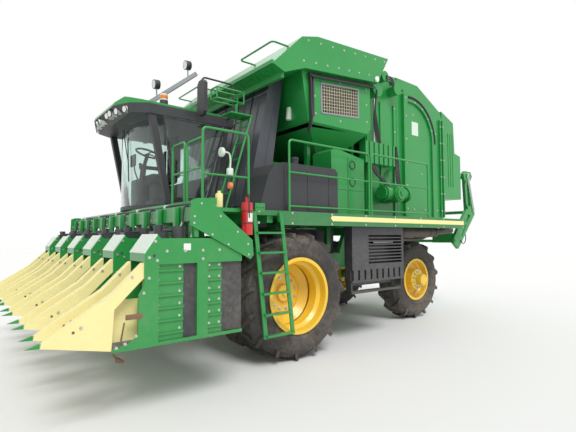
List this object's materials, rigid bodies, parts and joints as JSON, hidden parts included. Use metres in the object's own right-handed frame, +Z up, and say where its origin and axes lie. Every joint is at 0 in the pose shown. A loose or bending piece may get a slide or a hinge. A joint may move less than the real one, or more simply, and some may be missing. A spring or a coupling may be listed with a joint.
{
  "type": "self-propelled cotton harvester",
  "caption": "Self-propelled cotton harvester with a raised picking head, glazed cab, cotton accumulator and a round module builder with a rear gate.",
  "frame": {"origin": "on the ground, midway along the overall length and width", "axes": "+X forward, +Y to the machine's left, +Z up"},
  "size_m": [10.72, 5.604, 5.23],
  "materials": {
    "green_paint": "glossy, dusty",
    "yellow_paint": "glossy",
    "yellow_plastic": "moulded, scuffed",
    "tyre_rubber": "dusty",
    "rubber_sheet": "matt",
    "dark_plastic": "matt",
    "dark_paint": "satin",
    "exhaust_steel": "heat stained",
    "glass": "clear, faint green",
    "lamp_lens": "clear lens",
    "red_paint": "glossy",
    "steel": "polished",
    "pale_paint": "worn, reflective"
  },
  "bodies": {
    "chassis": {"chassis_frame": "green_paint", "cross_members": "green_paint", "lift_brackets": "green_paint", "cab_bearers": "green_paint", "front_axle": "green_paint", "rear_axle": "green_paint", "engine_block": "dark_paint", "platforms": "green_paint", "deck_rails": "green_paint", "front_ladder": "green_paint", "landing": "green_paint", "landing_rails": "green_paint", "side_shields": "dark_paint", "exhaust": "exhaust_steel", "fluid_tanks": "dark_plastic", "service_boxes": "green_paint", "cab_body": "dark_plastic", "cab_roof": "green_paint", "roof_trim": "dark_plastic", "cab_glass": "glass", "cab_interior": "dark_plastic", "roof_lamps": "lamp_lens", "lamp_mast": "dark_paint", "mirrors": "dark_plastic", "fire_extinguisher": "red_paint", "air_ducts": "dark_paint", "accumulator": "green_paint", "hood": "green_paint", "engine_cover": "green_paint", "chamber_sides": "green_paint", "baling_rollers": "steel", "chamber_drive": "dark_paint"},
    "front_wheel_left": {"rim_front_left": "yellow_paint", "tyre_front_left": "tyre_rubber"},
    "front_wheel_right": {"rim_front_right": "yellow_paint", "tyre_front_right": "tyre_rubber"},
    "rear_wheel_left": {"rim_rear_left": "yellow_paint", "tyre_rear_left": "tyre_rubber"},
    "rear_wheel_right": {"rim_rear_right": "yellow_paint", "tyre_rear_right": "tyre_rubber"},
    "steer_left": {"knuckle_left": "green_paint"},
    "steer_right": {"knuckle_right": "green_paint"},
    "door": {"cab_door": "glass"},
    "gate": {"rear_gate": "green_paint", "gate_wrap_box": "green_paint"},
    "handler": {"rear_handler": "green_paint"},
    "lower_arms": {"lift_arms": "green_paint"},
    "upper_arms": {"levelling_link": "green_paint"},
    "cylinder_barrels": {"lift_barrels": "green_paint"},
    "cylinder_rods": {"lift_rods": "steel"},
    "head": {"head_brackets": "green_paint", "toolbar": "green_paint", "unit_drives": "dark_paint", "end_shields": "green_paint", "unit_frames": "green_paint", "unit_doors": "green_paint", "unit_caps": "pale_paint", "rubber_flaps": "rubber_sheet", "stalk_lifters": "yellow_plastic", "lifter_points": "green_paint"}
  },
  "joints": [
    {"name": "front_left_spin", "type": "hinge", "parent": "chassis", "child": "front_wheel_left", "pos_m": [1.84, 1.9, 0.94], "axis": [0, 1, 0], "continuous": true},
    {"name": "front_right_spin", "type": "hinge", "parent": "chassis", "child": "front_wheel_right", "pos_m": [1.84, -1.9, 0.94], "axis": [0, 1, 0], "continuous": true},
    {"name": "steering", "type": "hinge", "parent": "chassis", "child": "steer_left", "pos_m": [-2.25, 0.68, 0.85], "axis": [0, 0, 1], "range_deg": [-35, 35]},
    {"name": "steering_right", "type": "hinge", "parent": "chassis", "child": "steer_right", "pos_m": [-2.25, -0.68, 0.85], "axis": [0, 0, 1], "range_deg": [-35, 35]},
    {"name": "rear_left_spin", "type": "hinge", "parent": "steer_left", "child": "rear_wheel_left", "pos_m": [-2.25, 1.12, 0.85], "axis": [0, 1, 0], "continuous": true},
    {"name": "rear_right_spin", "type": "hinge", "parent": "steer_right", "child": "rear_wheel_right", "pos_m": [-2.25, -1.12, 0.85], "axis": [0, 1, 0], "continuous": true},
    {"name": "door_hinge", "type": "hinge", "parent": "chassis", "child": "door", "pos_m": [2.795, 0.972, 2.37], "axis": [-0.2932, 0, 0.956], "range_deg": [0, 75]},
    {"name": "gate_hinge", "type": "hinge", "parent": "chassis", "child": "gate", "pos_m": [-1.31, 0, 5.06], "axis": [0, 1, 0], "range_deg": [0, 55]},
    {"name": "handler_hinge", "type": "hinge", "parent": "chassis", "child": "handler", "pos_m": [-4.31, 0, 1.7], "axis": [0, 1, 0], "range_deg": [-90, 0]},
    {"name": "head_lift", "type": "hinge", "parent": "chassis", "child": "lower_arms", "pos_m": [2.69, 0, 1.64], "axis": [0, 1, 0], "range_deg": [0, 41]},
    {"name": "head_level", "type": "hinge", "parent": "lower_arms", "child": "head", "pos_m": [3.49661, 0, 2.01613], "axis": [0, 1, 0], "range_deg": [-41, 0]},
    {"name": "upper_link_swing", "type": "hinge", "parent": "chassis", "child": "upper_arms", "pos_m": [2.69, 0, 1.3], "axis": [0, 1, 0], "range_deg": [0, 41]},
    {"name": "cylinder_swing", "type": "hinge", "parent": "chassis", "child": "cylinder_barrels", "pos_m": [2.66, 0, 1], "axis": [0, 1, 0], "range_deg": [0, 16.61]},
    {"name": "cylinder_stroke", "type": "slide", "parent": "cylinder_barrels", "child": "cylinder_rods", "axis": [0.5037, 0, 0.8639], "range_m": [-0.26898, 0]}
  ],
  "couplings": [
    {"joint": "steering_right", "follows": "steering", "ratio": 1},
    {"joint": "head_level", "follows": "head_lift", "ratio": -1},
    {"joint": "upper_link_swing", "follows": "head_lift", "ratio": 1},
    {"joint": "cylinder_swing", "follows": "head_lift", "ratio": 0.40506},
    {"joint": "cylinder_stroke", "follows": "head_lift", "m_per_rad": -0.37589}
  ]
}
